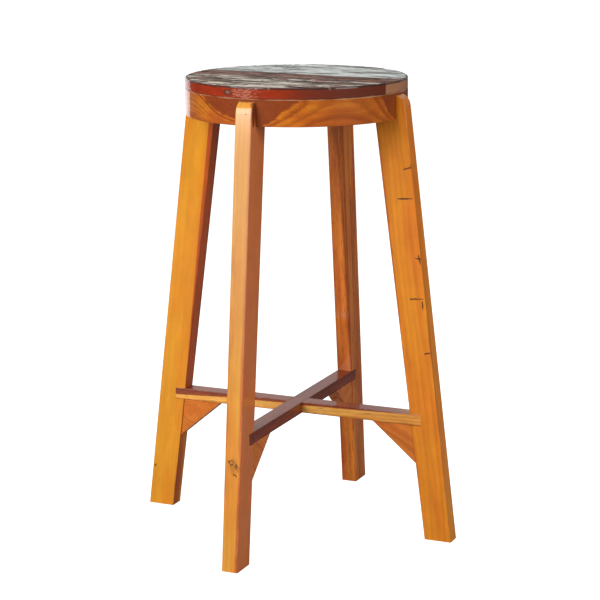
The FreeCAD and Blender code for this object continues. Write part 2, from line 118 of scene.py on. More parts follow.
def new_group(name, inputs, outputs):
    """An empty node group with named sockets, and its two end nodes."""
    tree = bpy.data.node_groups.new(name, "ShaderNodeTree")
    kinds = {"color": "NodeSocketColor", "vector": "NodeSocketVector", "value": "NodeSocketFloat"}
    for label, kind in inputs.items():
        tree.interface.new_socket(name=label, in_out="INPUT", socket_type=kinds[kind])
    for label, kind in outputs.items():
        tree.interface.new_socket(name=label, in_out="OUTPUT", socket_type=kinds[kind])
    start = tree.nodes.new("NodeGroupInput")
    end = tree.nodes.new("NodeGroupOutput")
    return tree, start.outputs, end.inputs


def place_group(tree, group, inputs):
    """The group as a node in a material, with its own values."""
    return add(tree, "ShaderNodeGroup", inputs, node_tree=group).outputs


# ---------------------------------------------------------------- shared effects


def make_timber():
    """Solid wood: soft rings round a pith line that lies on Z, with patches of a warmer tone,
    fibres, pores and a darker heart whose edge is ragged."""
    tree, given, result = new_group(
        "timber",
        {
            "Place": "vector", "Ring width": "value", "Wander": "value", "Pale": "color",
            "Warm": "color", "Dark": "color", "Heart": "color", "Heart edge": "value",
            "Ragged": "value", "Contrast": "value", "Streaks": "value", "Pores": "value",
        },
        {"Color": "color", "Height": "value", "Gloss": "value"},
    )
    place = given["Place"]
    sway = grain_noise(tree, place, 14.0, 2.6, 2.0, 0.5, "Color")
    sway = turn(tree, "SUBTRACT", sway, (0.5, 0.5, 0.5))
    sway = turn(tree, "SCALE", sway, scale=given["Wander"])
    bent = turn(tree, "ADD", place, sway)
    flat = turn(tree, "MULTIPLY", bent, (1.0, 1.0, 0.0))
    radius = turn(tree, "LENGTH", flat)
    ragged = calc(tree, "MULTIPLY_ADD", grain_noise(tree, place, 380.0, 9.0, 3.0, 0.6), 0.5, -0.25)
    turns = calc(tree, "ADD", calc(tree, "DIVIDE", radius, given["Ring width"]), ragged)
    phase = calc(tree, "FRACT", turns)
    number = calc(tree, "FLOOR", turns)
    lot = add(tree, "ShaderNodeTexWhiteNoise", {"W": number}, noise_dimensions="1D").outputs[0]
    rise = step(tree, phase, 0.2, 0.75)
    fall = calc(tree, "SUBTRACT", 1.0, step(tree, phase, 0.78, 1.0))
    depth = calc(tree, "MULTIPLY_ADD", lot, 0.9, 0.1)
    late = calc(tree, "MULTIPLY", calc(tree, "MULTIPLY", rise, fall), depth)
    late = calc(tree, "MULTIPLY", late, given["Contrast"])
    patch = step(tree, grain_noise(tree, place, 38.0, 5.0, 3.0, 0.55), 0.36, 0.64)
    color = blend(tree, patch, given["Pale"], given["Warm"])
    color = blend(tree, late, color, given["Dark"])
    cloud = grain_noise(tree, place, 24.0, 3.0, 3.0, 0.55)
    splinter = grain_noise(tree, place, 130.0, 10.0, 3.0, 0.6)
    splinter = calc(tree, "MULTIPLY_ADD", splinter, 0.5, -0.25)
    edge = calc(tree, "ADD", calc(tree, "SUBTRACT", cloud, 0.5), splinter)
    edge = calc(tree, "MULTIPLY_ADD", edge, given["Ragged"], radius)
    low = calc(tree, "SUBTRACT", given["Heart edge"], 0.0012)
    high = calc(tree, "ADD", given["Heart edge"], 0.0012)
    heart = calc(tree, "SUBTRACT", 1.0, step(tree, edge, low, high))
    heart_late = blend(tree, calc(tree, "MULTIPLY", late, 0.5), given["Heart"], given["Dark"])
    color = blend(tree, heart, color, heart_late)
    streak = grain_noise(tree, place, 150.0, 3.2, 4.0, 0.6)
    streak = calc(tree, "MULTIPLY", calc(tree, "SUBTRACT", streak, 0.5), given["Streaks"])
    fibre = calc(tree, "MULTIPLY_ADD", grain_noise(tree, place, 900.0, 18.0, 3.0, 0.65), 0.34, -0.17)
    mottle = grain_noise(tree, place, 34.0, 24.0, 3.0, 0.6)
    broad = calc(tree, "MULTIPLY_ADD", calc(tree, "ADD", cloud, mottle), 0.30, -0.30)
    light = calc(tree, "ADD", calc(tree, "ADD", streak, fibre), calc(tree, "ADD", broad, 1.0))
    shade = add(tree, "ShaderNodeCombineColor", {"Red": light, "Green": light, "Blue": light})
    color = blend(tree, 1.0, color, shade.outputs[0], "MULTIPLY")
    dashes = grain_noise(tree, place, 1300.0, 60.0, 1.0, 0.5)
    pores = calc(tree, "MULTIPLY", step(tree, dashes, 0.60, 0.72), given["Pores"])
    dark_pore = turn(tree, "MULTIPLY", color, (0.34, 0.26, 0.24))
    color = blend(tree, calc(tree, "MULTIPLY", pores, 0.75), color, dark_pore)
    tree.links.new(color, result["Color"])
    height = calc(tree, "SUBTRACT", calc(tree, "MULTIPLY", fibre, 0.8), pores)
    height = calc(tree, "ADD", height, calc(tree, "MULTIPLY", late, 0.3))
    tree.links.new(height, result["Height"])
    gloss = calc(tree, "MULTIPLY_ADD", grain_noise(tree, place, 40.0, 12.0, 3.0, 0.6), 0.16, 0.0)
    gloss = calc(tree, "ADD", gloss, calc(tree, "MULTIPLY", pores, 0.2))
    tree.links.new(gloss, result["Gloss"])
    return tree


def make_arris():
    """Nearness to the long edges of a four-sided bar that lies on Z and may taper in Y."""
    tree, given, result = new_group(
        "arris",
        {
            "Place": "vector", "Half thick": "value", "Half wide": "value", "Taper": "value",
            "Reach": "value",
        },
        {"Mask": "value"},
    )
    parts = add(tree, "ShaderNodeSeparateXYZ", {"Vector": given["Place"]}).outputs
    wide = calc(tree, "MULTIPLY_ADD", parts["Z"], given["Taper"], given["Half wide"])
    gap_x = calc(tree, "SUBTRACT", given["Half thick"], calc(tree, "ABSOLUTE", parts["X"]))
    gap_y = calc(tree, "SUBTRACT", wide, calc(tree, "ABSOLUTE", parts["Y"]))
    gap = calc(tree, "MAXIMUM", gap_x, gap_y)
    uneven = grain_noise(tree, given["Place"], 160.0, 22.0, 4.0, 0.6)
    reach = calc(tree, "MULTIPLY", given["Reach"], calc(tree, "MULTIPLY_ADD", uneven, 3.0, -0.6))
    near = calc(tree, "SUBTRACT", 1.0, step(tree, gap, calc(tree, "MULTIPLY", reach, 0.25), reach))
    tree.links.new(near, result["Mask"])
    return tree


def make_knot():
    """A knot: the grain pushed aside round it, and where its core and its dark rim lie."""
    tree, given, result = new_group(
        "knot",
        {"Place": "vector", "Centre": "vector", "Reach": "vector", "Push": "value"},
        {"Place": "vector", "Core": "value", "Rim": "value"},
    )
    apart = turn(tree, "SUBTRACT", given["Place"], given["Centre"])
    scaled = turn(tree, "DIVIDE", apart, given["Reach"])
    ripple = add(tree, "ShaderNodeTexNoise", {"Vector": scaled, "Scale": 1.6, "Detail": 2.0})
    far = calc(tree, "MULTIPLY_ADD", ripple.outputs["Fac"], 0.5, -0.25)
    far = calc(tree, "ADD", turn(tree, "LENGTH", scaled), far)
    fade = calc(tree, "EXPONENT", calc(tree, "MULTIPLY", calc(tree, "MULTIPLY", far, far), -0.35))
    aside = turn(tree, "SCALE", apart, scale=calc(tree, "MULTIPLY", fade, given["Push"]))
    tree.links.new(turn(tree, "SUBTRACT", given["Place"], aside), result["Place"])
    core = calc(tree, "SUBTRACT", 1.0, step(tree, far, 0.55, 0.95))
    tree.links.new(core, result["Core"])
    outer = calc(tree, "SUBTRACT", 1.0, step(tree, far, 0.95, 1.7))
    tree.links.new(calc(tree, "SUBTRACT", outer, calc(tree, "MULTIPLY", core, 0.45)), result["Rim"])
    return tree


def make_scar():
    """A thin check or scratch between two points, widest near its middle."""
    tree, given, result = new_group(
        "scar",
        {"Place": "vector", "Start": "vector", "Run": "vector", "Breadth": "value"},
        {"Mask": "value"},
    )
    rough = add(tree, "ShaderNodeTexNoise", {"Vector": given["Place"], "Scale": 260.0, "Detail": 2.0})
    jag = turn(tree, "SUBTRACT", rough.outputs["Color"], (0.5, 0.5, 0.5))
    jag = turn(tree, "SCALE", jag, scale=0.0026)
    apart = turn(tree, "SUBTRACT", turn(tree, "ADD", given["Place"], jag), given["Start"])
    along = calc(
        tree, "DIVIDE",
        turn(tree, "DOT_PRODUCT", apart, given["Run"]),
        turn(tree, "DOT_PRODUCT", given["Run"], given["Run"]),
        clamp=True,
    )
    nearest = turn(tree, "SCALE", given["Run"], scale=along)
    distance = turn(tree, "LENGTH", turn(tree, "SUBTRACT", apart, nearest))
    taper = calc(tree, "MULTIPLY", calc(tree, "SUBTRACT", 1.0, along), calc(tree, "ADD", along, 0.25))
    swell = calc(tree, "ADD", calc(tree, "MULTIPLY", taper, 2.0), 0.3)
    width = calc(tree, "MULTIPLY", given["Breadth"], swell)
    mask = calc(tree, "SUBTRACT", 1.0, step(tree, distance, calc(tree, "MULTIPLY", width, 0.3), width))
    tree.links.new(mask, result["Mask"])
    return tree


def make_old_paint():
    """Old paint rubbed through along the grain, in streaks and blots: two coats over bare wood."""
    tree, given, result = new_group(
        "old_paint",
        {
            "Place": "vector", "Wood": "color", "Coat": "color", "Second coat": "color",
            "Dirt": "color", "Left": "value", "Second left": "value", "Grime": "value",
        },
        {"Color": "color", "Height": "value", "Gloss": "value"},
    )
    place = given["Place"]
    broad = grain_noise(tree, place, 30.0, 8.0, 3.0, 0.55)
    streak = grain_noise(tree, place, 95.0, 12.0, 5.0, 0.65)
    fine = grain_noise(tree, place, 700.0, 80.0, 3.0, 0.7)
    worn = calc(tree, "ADD", calc(tree, "MULTIPLY", broad, 0.5), calc(tree, "MULTIPLY", streak, 0.5))
    worn = calc(tree, "ADD", worn, calc(tree, "MULTIPLY_ADD", fine, 0.36, -0.18))
    low = calc(tree, "SUBTRACT", given["Left"], 0.035)
    high = calc(tree, "ADD", given["Left"], 0.035)
    coat = calc(tree, "SUBTRACT", 1.0, step(tree, worn, low, high))
    second = grain_noise(tree, turn(tree, "ADD", place, (3.1, 1.7, 0.4)), 62.0, 13.0, 5.0, 0.62)
    second = calc(tree, "ADD", second, calc(tree, "MULTIPLY_ADD", fine, 0.40, -0.20))
    low = calc(tree, "SUBTRACT", given["Second left"], 0.04)
    high = calc(tree, "ADD", given["Second left"], 0.04)
    over = calc(tree, "MULTIPLY", coat, calc(tree, "SUBTRACT", 1.0, step(tree, second, low, high)))
    color = blend(tree, calc(tree, "MULTIPLY", coat, 0.9), given["Wood"], given["Coat"])
    color = blend(tree, calc(tree, "MULTIPLY", over, 0.9), color, given["Second coat"])
    crack = grain_noise(tree, turn(tree, "ADD", place, (0.7, 2.3, 1.9)), 85.0, 13.0, 5.0, 0.68)
    low = calc(tree, "SUBTRACT", 0.62, given["Grime"])
    high = calc(tree, "SUBTRACT", 0.72, given["Grime"])
    crack = step(tree, crack, low, high)
    color = blend(tree, calc(tree, "MULTIPLY", crack, 0.85), color, given["Dirt"])
    tone = calc(tree, "MULTIPLY_ADD", fine, 1.0, 0.5)
    tone = add(tree, "ShaderNodeCombineColor", {"Red": tone, "Green": tone, "Blue": tone})
    color = blend(tree, 1.0, color, tone.outputs[0], "MULTIPLY")
    tree.links.new(color, result["Color"])
    height = calc(tree, "ADD", calc(tree, "MULTIPLY", coat, 0.5), calc(tree, "MULTIPLY", over, 0.3))
    height = calc(tree, "SUBTRACT", height, crack)
    height = calc(tree, "ADD", height, calc(tree, "MULTIPLY", fine, 0.3))
    tree.links.new(height, result["Height"])
    gloss = calc(tree, "ADD", calc(tree, "MULTIPLY", crack, 0.2), calc(tree, "MULTIPLY", fine, 0.2))
    tree.links.new(gloss, result["Gloss"])
    return tree


TIMBER = make_timber()
ARRIS = make_arris()
KNOT = make_knot()
SCAR = make_scar()
OLD_PAINT = make_old_paint()

# ---------------------------------------------------------------- materials


def new_material(name):
    """An empty material: itself, its tree, its shader and the piece's own coordinates."""
    material = bpy.data.materials.new(name)
    material.use_nodes = True
    tree = material.node_tree
    tree.nodes.clear()
    out = tree.nodes.new("ShaderNodeOutputMaterial")
    shader = tree.nodes.new("ShaderNodeBsdfPrincipled")
    tree.links.new(shader.outputs[0], out.inputs[0])
    where = tree.nodes.new("ShaderNodeTexCoord").outputs["Object"]
    return material, tree, shader, where


def lacquer(tree, shader, color, height, gloss, base_rough, depth):
    """Colour, relief and gloss of lacquered wood on the shader's own sockets."""
    tree.links.new(color, shader.inputs["Base Color"])
    rough = calc(tree, "ADD", gloss, base_rough)
    tree.links.new(rough, shader.inputs["Roughness"])
    shader.inputs["Specular IOR Level"].default_value = 0.1
    shader.inputs["Coat Weight"].default_value = 0.9
    shader.inputs["Coat Roughness"].default_value = 0.09
    shader.inputs["Coat IOR"].default_value = 1.5
    bump = add(tree, "ShaderNodeBump", {"Height": height, "Strength": 0.35, "Distance": depth})
    tree.links.new(bump.outputs[0], shader.inputs["Normal"])


def log_place(tree, where, pith, grain, roll):
    """Coordinates in the log that a piece was sawn from: the pith passes through a point and
    lies along a direction, and the log is rolled round it."""
    axis = Vector(grain).normalized()
    turned = Vector((0, 0, 1)).rotation_difference(axis).to_matrix() @ Matrix.Rotation(roll, 3, "Z")
    spin = turned.transposed().to_euler("XYZ")
    shift = turned.transposed() @ -Vector(pith)
    inputs = {"Vector": where, "Location": shift, "Rotation": spin}
    return add(tree, "ShaderNodeMapping", inputs, vector_type="POINT").outputs[0]


def wood(pale, warm, dark, heart):
    """The four tones of one wood."""
    tones = {"Pale": pale, "Warm": warm, "Dark": dark, "Heart": heart}
    return {label: (*tone, 1.0) for label, tone in tones.items()}


WOODS = {
    "honey": wood((0.68, 0.285, 0.016), (0.65, 0.225, 0.012), (0.46, 0.135, 0.010), (0.42, 0.074, 0.010)),
    "gold": wood((0.74, 0.255, 0.013), (0.69, 0.190, 0.011), (0.46, 0.11, 0.008), (0.30, 0.06, 0.010)),
    "peach": wood((0.68, 0.300, 0.036), (0.66, 0.240, 0.026), (0.45, 0.13, 0.014), (0.58, 0.160, 0.040)),
    "amber": wood((0.57, 0.170, 0.012), (0.44, 0.098, 0.010), (0.25, 0.042, 0.006), (0.23, 0.046, 0.009)),
    "striped": wood((0.54, 0.165, 0.012), (0.42, 0.090, 0.010), (0.17, 0.024, 0.005), (0.25, 0.046, 0.008)),
    "orange": wood((0.66, 0.190, 0.022), (0.56, 0.140, 0.016), (0.36, 0.075, 0.010), (0.26, 0.05, 0.012)),
    "tan": wood((0.80, 0.40, 0.085), (0.74, 0.31, 0.052), (0.36, 0.11, 0.022), (0.26, 0.055, 0.022)),
    "russet": wood((0.64, 0.190, 0.022), (0.48, 0.105, 0.014), (0.24, 0.046, 0.010), (0.20, 0.040, 0.014)),
    "mahogany": wood((0.25, 0.044, 0.014), (0.19, 0.03, 0.01), (0.11, 0.018, 0.008), (0.14, 0.026, 0.01)),
    "red": wood((0.31, 0.026, 0.003), (0.26, 0.022, 0.003), (0.13, 0.014, 0.005), (0.12, 0.022, 0.012)),
    "brown": wood((0.25, 0.105, 0.055), (0.20, 0.075, 0.038), (0.11, 0.036, 0.020), (0.12, 0.035, 0.02)),
}
# The front leg's narrow outer face: where it lies at the floor, and how it slopes back.
OUTER_FOOT, OUTER_SLOPE = -0.2755, 0.1131
CHECK = (0.030, 0.012, 0.007, 1)
# Dark brown for worn patches, and for painted shade beside the front leg's head.
STAIN_AND_SHADE = (0.070, 0.014, 0.004, 1)
# Pale greyish tint for a painted sheen of reflected light on the upper front leg.
SHEEN_TINT = (0.52, 0.42, 0.32, 1)
KNOT_RIM = (0.22, 0.055, 0.012, 1)
KNOT_CORE = (0.09, 0.028, 0.010, 1)
# Pale line at the seam under the boards: worn glue, lightened further as a painted highlight.
PALE_GLUE_AND_HIGHLIGHT = (0.62, 0.40, 0.24, 1)


def wood_material(name, tone, pith, grain, roll=0.0, ring=0.006, wander=0.01, heart=0.0, ragged=0.006,
                  contrast=0.4, streaks=0.3, pores=0.5, knots=(), knot_depth=1.0, scars=(), stains_and_shade=(),
                  bar=None, joint=None, painted_sheen=0.0):
    """Lacquered solid wood, with any knots, dark scars, stains and painted shade it carries. bar
    gives a bar's middle, axis, face, half sizes and taper, for its darker arrises; joint is the height
    of a pale line, worn glue with a painted highlight along it; the last argument is how far the
    front leg's outer face is painted paler towards its top, as a painted sheen."""
    material, tree, shader, where = new_material(name)
    cores, rims = [], []
    place = where
    for centre, reach, push in knots:
        inputs = {"Place": place, "Centre": centre, "Reach": reach, "Push": push}
        made = place_group(tree, KNOT, inputs)
        place = made["Place"]
        cores.append(made["Core"])
        rims.append(made["Rim"])
    log = log_place(tree, place, pith, grain, roll)
    inputs = {
        "Place": log, "Ring width": ring, "Wander": wander, "Heart edge": heart, "Ragged": ragged,
        "Contrast": contrast, "Streaks": streaks, "Pores": pores, **WOODS[tone],
    }
    timber = place_group(tree, TIMBER, inputs)
    color, height = timber["Color"], timber["Height"]
    if bar:
        centre, axis, face, half_thick, half_wide, taper = bar
        inputs = {
            "Place": bar_place(tree, where, centre, axis, face), "Half thick": half_thick,
            "Half wide": half_wide, "Taper": taper, "Reach": 0.0042,
        }
        arris = place_group(tree, ARRIS, inputs)["Mask"]
        reddened = turn(tree, "MULTIPLY", color, (0.66, 0.46, 0.40))
        color = blend(tree, calc(tree, "MULTIPLY", arris, 0.8), color, reddened)
    # Painted sheen: the front leg's outer face is painted paler and greyer towards its top, standing for
    # reflected light.
    if painted_sheen:
        parts = add(tree, "ShaderNodeSeparateXYZ", {"Vector": where}).outputs
        outer = calc(tree, "MULTIPLY_ADD", parts["Z"], OUTER_SLOPE, OUTER_FOOT)
        inside = calc(tree, "SUBTRACT", parts["Y"], outer)
        on_face = calc(tree, "SUBTRACT", 1.0, step(tree, inside, 0.001, 0.006))
        sheen_amount = calc(tree, "MULTIPLY", step(tree, parts["Z"], 0.12, 0.72), painted_sheen)
        color = blend(tree, calc(tree, "MULTIPLY", sheen_amount, on_face), color, SHEEN_TINT)
    for core, rim in zip(cores, rims):
        color = blend(tree, calc(tree, "MULTIPLY", rim, 0.5 * knot_depth), color, KNOT_RIM)
        color = blend(tree, calc(tree, "MULTIPLY", core, 0.8 * knot_depth), color, KNOT_CORE)
        height = calc(tree, "SUBTRACT", height, calc(tree, "MULTIPLY", core, knot_depth))
    # Dark soft patches: worn stains, and painted shade on the side of the front leg's head.
    for start, run, breadth in stains_and_shade:
        inputs = {"Place": where, "Start": start, "Run": run, "Breadth": breadth}
        mask = place_group(tree, SCAR, inputs)["Mask"]
        color = blend(tree, calc(tree, "MULTIPLY", mask, 0.85), color, STAIN_AND_SHADE)
    for start, run, breadth in scars:
        inputs = {"Place": where, "Start": start, "Run": run, "Breadth": breadth}
        mask = place_group(tree, SCAR, inputs)["Mask"]
        color = blend(tree, calc(tree, "MULTIPLY", mask, 0.9), color, CHECK)
        height = calc(tree, "SUBTRACT", height, calc(tree, "MULTIPLY", mask, 3.0))
    # Pale seam line: worn glue and a painted highlight along it.
    if joint:
        color = blend(tree, glue_and_highlight_line(tree, where, joint), color, PALE_GLUE_AND_HIGHLIGHT)
    lacquer(tree, shader, color, height, timber["Gloss"], 0.34, 0.0004)
    return material


def ragged_line(tree, where, gap, swell=1.0):
    """A thin line of uneven breadth, where a gap is nearly nothing."""
    wave = add(tree, "ShaderNodeTexNoise", {"Vector": where, "Scale": 34.0, "Detail": 4.0}).outputs["Fac"]
    broad = calc(tree, "MULTIPLY", calc(tree, "MULTIPLY_ADD", wave, 0.0056, -0.0019), swell)
    broad = calc(tree, "MAXIMUM", broad, 0.0001)
    return calc(tree, "SUBTRACT", 1.0, step(tree, gap, calc(tree, "MULTIPLY", broad, 0.4), broad))


def glue_and_highlight_line(tree, where, level):
    """Where a thin uneven pale line shows at a height: worn glue, with a painted highlight along the seam.
    """
    z = add(tree, "ShaderNodeSeparateXYZ", {"Vector": where}).outputs["Z"]
    gap = calc(tree, "ABSOLUTE", calc(tree, "SUBTRACT", z, level))
    return calc(tree, "MULTIPLY", ragged_line(tree, where, gap), 0.6)


def bar_place(tree, where, centre, axis, face):
    """Coordinates of a bar: Z along its axis and X along the normal of its broad faces."""
    along = Vector(axis).normalized()
    normal = Vector(face)
    normal = (normal - along * normal.dot(along)).normalized()
    turned = Matrix((normal, along.cross(normal), along))
    spin = turned.to_euler("XYZ")
    inputs = {"Vector": where, "Location": turned @ -Vector(centre), "Rotation": spin}
    return add(tree, "ShaderNodeMapping", inputs, vector_type="POINT").outputs[0]


def steel_material(name, dark, light, base_rough):
    """Screw or pin steel, finely mottled."""
    material, tree, shader, where = new_material(name)
    marks = add(tree, "ShaderNodeTexNoise", {"Vector": where, "Scale": 900.0, "Detail": 3.0})
    color = blend(tree, marks.outputs["Fac"], dark, light)
    tree.links.new(color, shader.inputs["Base Color"])
    shader.inputs["Metallic"].default_value = 1.0
    rough = calc(tree, "MULTIPLY_ADD", marks.outputs["Fac"], 0.3, base_rough)
    tree.links.new(rough, shader.inputs["Roughness"])
    bump = add(tree, "ShaderNodeBump", {"Height": marks.outputs["Fac"], "Distance": 0.0001})
    tree.links.new(bump.outputs[0], shader.inputs["Normal"])
    return material


def dress(node, material):
    """Give a CAD node one material all over."""
    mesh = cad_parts[node].data
    mesh.materials.clear()
    mesh.materials.append(material)


def polar(angle, reach, height):
    """A point at a reach and height in the direction of an angle in degrees."""
    bearing = math.radians(angle)
    return Vector((reach * math.cos(bearing), reach * math.sin(bearing), height))


FOOT_REACH, HEAD_REACH, HEAD_HEIGHT = 0.2527, 0.1700, 0.70
LEAN = math.tan(math.radians(0.53))
LEAN_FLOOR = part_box("rail_left_right")[1].z
LEG_HALF_THICK = 0.0135
LEG_HALF_WIDE, LEG_TAPER = 0.0245, 0.0047


def leg_line(angle):
    """A leg's foot and its direction, leaving out its slight sideways lean above the footrest."""
    foot = polar(angle, FOOT_REACH, 0.0)
    head = polar(angle, HEAD_REACH, HEAD_HEIGHT)
    return foot, (head - foot).normalized()


def side_checks():
    """Short checks that run in from the outer arris of the right leg's broad face."""
    ends = (
        (0.1905, 0.6105, 0.2170, 0.6180), (0.2030, 0.6180, 0.2125, 0.6120),
        (0.1820, 0.5632, 0.2077, 0.5648), (0.2120, 0.4690, 0.2225, 0.4680),
        (0.2170, 0.4740, 0.2200, 0.4600), (0.2040, 0.4019, 0.2260, 0.4036),
        (0.2285, 0.3134, 0.2387, 0.3160), (0.2235, 0.3990, 0.2250, 0.3850),
    )
    checks = []
    for x, z, far, up in ends:
        face = -LEG_HALF_THICK - (z - LEAN_FLOOR) * LEAN
        checks.append(((x, face, z), (far - x, 0.0, up - z), 0.0017))
    return checks


def outer_face(z):
    """How far forward the front leg's narrow outer face lies at a height."""
    return OUTER_FOOT + OUTER_SLOPE * z


def outer_mark(x, z, far, up, breadth):
    """A scar on the front leg's outer face, from (x, z) to (far, up)."""
    run = (far - x, outer_face(up) - outer_face(z), up - z)
    return (x, outer_face(z), z), run, breadth


def curled_knot():
    """The curl of thin dark lines round a small knot low on the front leg's outer face."""
    centre_x, centre_z = -0.0015, 0.1722
    first_turn, turn_step, pieces = 30, 46, 9
    corners = []
    for index in range(pieces):
        reach = 0.0056 - 0.0004 * index
        for bearing in (first_turn + turn_step * index, first_turn + turn_step * (index + 1)):
            angle = math.radians(bearing)
            corners.append((centre_x + reach * math.cos(angle), centre_z + 0.9 * reach * math.sin(angle)))
    marks = [outer_mark(*start, *end, 0.0015) for start, end in zip(corners[::2], corners[1::2])]
    strokes = (
        (0.0030, 0.1735, 0.0125, 0.1640), (0.0040, 0.1690, 0.0110, 0.1590),
        (0.0020, 0.1560, 0.0045, 0.1530), (0.0060, 0.1545, 0.0085, 0.1500),
        (-0.0085, 0.1760, -0.0050, 0.1690),
    )
    return marks + [outer_mark(*stroke, 0.0017) for stroke in strokes]


def head_wear_and_shade():
    """Dark patches on the front leg's head: worn patches over its rounded top, and painted shade down the
    side of it beside the ring.
    """
    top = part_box("leg_front")[1].z
    lean = (top - LEAN_FLOOR) * LEAN
    left, right = -LEG_HALF_THICK - lean, LEG_HALF_THICK - lean
    return [
        ((left + 0.0015, -0.1785, top), (0.012, 0.0, 0.0), 0.0034),
        ((left + 0.0090, -0.1785, top), (0.0165, 0.0, 0.0), 0.0044),
        # Painted shade down the head's side face, beside the ring.
        ((right, -0.1830, top - 0.004), (0.0, -0.003, -0.034), 0.0085),
    ]


def dress_legs():
    """Each leg from its own plank, its grain along the leg. How far off the pith lay, sideways and
    outwards, makes some broad faces plain and one narrow face all heartwood."""
    leg_looks = {
        "front": {"tone": "peach", "off": (0.400, 0.0), "heart": 0.3893, "ragged": 0.005, "ring": 0.008,
                  "contrast": 0.2, "painted_sheen": 0.30, "knot_depth": 0.3, "slant": -0.0064, "pores": 0.12,
                  "streaks": 0.16},
        "right": {"tone": "gold", "off": (0.012, 0.062), "heart": 0.0, "ring": 0.0085, "contrast": 0.34,
                  "wander": 0.03, "pores": 0.2},
        "back": {"tone": "russet", "off": (0.02, 0.05), "heart": 0.0, "ring": 0.006, "contrast": 0.8,
                 "pores": 1.0, "streaks": 1.1},
        "left": {"tone": "honey", "off": (0.002, -0.148), "heart": 0.1262, "ragged": 0.002, "ring": 0.011,
                 "contrast": 0.12, "pores": 0.06, "streaks": 0.12},
    }
    knots = {
        "front": [((0.001, -0.2560, 0.1665), (0.0070, 0.012, 0.0100), 0.5)],
        "left": [((-0.2633, -0.0135, 0.0685), (0.0022, 0.006, 0.0022), 0.6)],
    }
    scars = {"right": side_checks(), "front": curled_knot()}
    stains_and_shade = {"front": head_wear_and_shade()}
    for side, angle in LEGS.items():
        looks = dict(leg_looks[side])
        foot, along = leg_line(angle)
        sideways, outwards = looks.pop("off")
        grain = along + polar(angle + 90, looks.pop("slant", 0.0), 0.0)
        pith = foot + polar(angle + 90, sideways, 0.0) + polar(angle, outwards, 0.0)
        bar = (foot, along, polar(angle + 90, 1.0, 0.0), LEG_HALF_THICK, LEG_HALF_WIDE, LEG_TAPER)
        material = wood_material(
            f"leg_wood_{side}", looks.pop("tone"), pith, grain, roll=math.radians(angle), bar=bar,
            knots=knots.get(side, ()), scars=scars.get(side, ()), stains_and_shade=stains_and_shade.get(side, ()),
            **looks,
        )
        dress(f"leg_{side}", material)


def dress_ring():
    """Each ring segment is an arc sawn from a straight plank, so that its heart shows at the ends.
    Its looks are how far in and up the pith lay, the heart's reach, the ring width and the contrast."""
    looks = {
        "front_right": (0.066, 0.047, 0.053, 0.0085, 0.75),
        "back_right": (0.070, 0.050, 0.056, 0.0080, 0.70),
        "back_left": (0.064, 0.040, 0.050, 0.0080, 0.70),
        "front_left": (0.060, 0.058, 0.056, 0.0030, 1.10),
    }
    tones = {"front_left": "striped"}
    for side, angle in RING.items():
        inset, up, heart, ring, contrast = looks[side]
        pith = polar(angle, SEAT_RADIUS - inset, RING_FLOOR + up)
        material = wood_material(
            f"ring_wood_{side}", tones.get(side, "amber"), pith, polar(angle + 90, 1.0, 0.0),
            ring=ring, wander=0.02, heart=heart, ragged=0.014, contrast=contrast, streaks=0.45,
            pores=0.5, joint=BOARD_FLOOR,
        )
        dress(f"ring_{side}", material)


def dress_rails():
    """The left-right rail has a cap of heartwood over sapwood; the other rail is dark all through."""
    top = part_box("rail_left_right")[1].z
    half = (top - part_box("rail_left_right")[0].z) / 2
    middle = Vector((0, 0, top - half))
    upright = (0, 0, 1)
    reach = 0.2
    material = wood_material(
        "rail_wood_left_right", "tan", (0, -0.006, top + reach - 0.0052), (1, 0, 0.027), heart=reach,
        ring=0.006, ragged=0.010, contrast=0.45, streaks=0.7, pores=1.0,
        bar=(middle, (1, 0, 0), upright, half, LEG_HALF_THICK, 0.0),
    )
    dress("rail_left_right", material)
    material = wood_material(
        "rail_wood_front_back", "mahogany", (0.04, 0, top + 0.03), (0, 1, 0), ring=0.005, contrast=0.8,
        streaks=1.1, pores=1.0, bar=(middle, (0, 1, 0), upright, half, LEG_HALF_THICK, 0.0),
    )
    dress("rail_front_back", material)


def dress_gussets():
    """Gussets cut from short ends, each with its own figure. The left one is sawn across a knot,
    whose rings show on its broad face."""
    slopes = {"front": 0.9, "right": -0.5, "back": 0.7, "left": 0.6}
    knot, through_knot = (-0.1915, 0.0, 0.168), (0.35, 1.0, 0.12)
    tones = {"front": "orange", "right": "orange", "back": "russet", "left": "orange"}
    for side, angle in LEGS.items():
        low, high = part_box(f"gusset_{side}")
        middle = (low + high) / 2
        grain = polar(angle, 1.0, 0.0) + Vector((0, 0, slopes[side]))
        pith = middle + polar(angle + 90, 0.045, 0.0) + Vector((0, 0, -0.012))
        contrast, pores = 0.65, 0.5
        if side == "left":
            grain, pith = through_knot, knot
            contrast, pores = 0.4, 0.2
        material = wood_material(
            f"gusset_wood_{side}", tones[side], pith, grain, ring=0.0055, wander=0.03,
            contrast=contrast, streaks=0.4, pores=pores,
        )
        dress(f"gusset_{side}", material)


RIM_KNOT = (-0.0396, -0.1746, 0.7400)
RIM_KNOT_REACH = (0.0056, 0.02, 0.0034)
SCRATCHED = (-0.012, -0.1786, 0.7430)
SCRATCH_PINK = (0.55, 0.24, 0.16, 1)
RIM_KNOT_RING = (0.045, 0.026, 0.018, 1)
RIM_KNOT_CORE = (0.20, 0.125, 0.085, 1)
BOARD_ALONG = Vector((math.cos(BOARD_TURN), math.sin(BOARD_TURN), 0.0))
BOARD_ACROSS = Vector((-math.sin(BOARD_TURN), math.cos(BOARD_TURN), 0.0))


def board_span(node):
    """A board's near and far edge, measured across the boards."""
    spans = [vertex.co.dot(BOARD_ACROSS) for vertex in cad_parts[node].data.vertices]
    return min(spans), max(spans)


# Each joint of the top, with how broad its dark line is on the left and on the right.
JOINTS = ((board_span("seat_board_near")[1], 0.8, 11.0), (board_span("seat_board_far")[0], 4.5, 1.8))
EDGE_DIRT = (0.034, 0.014, 0.010, 1)


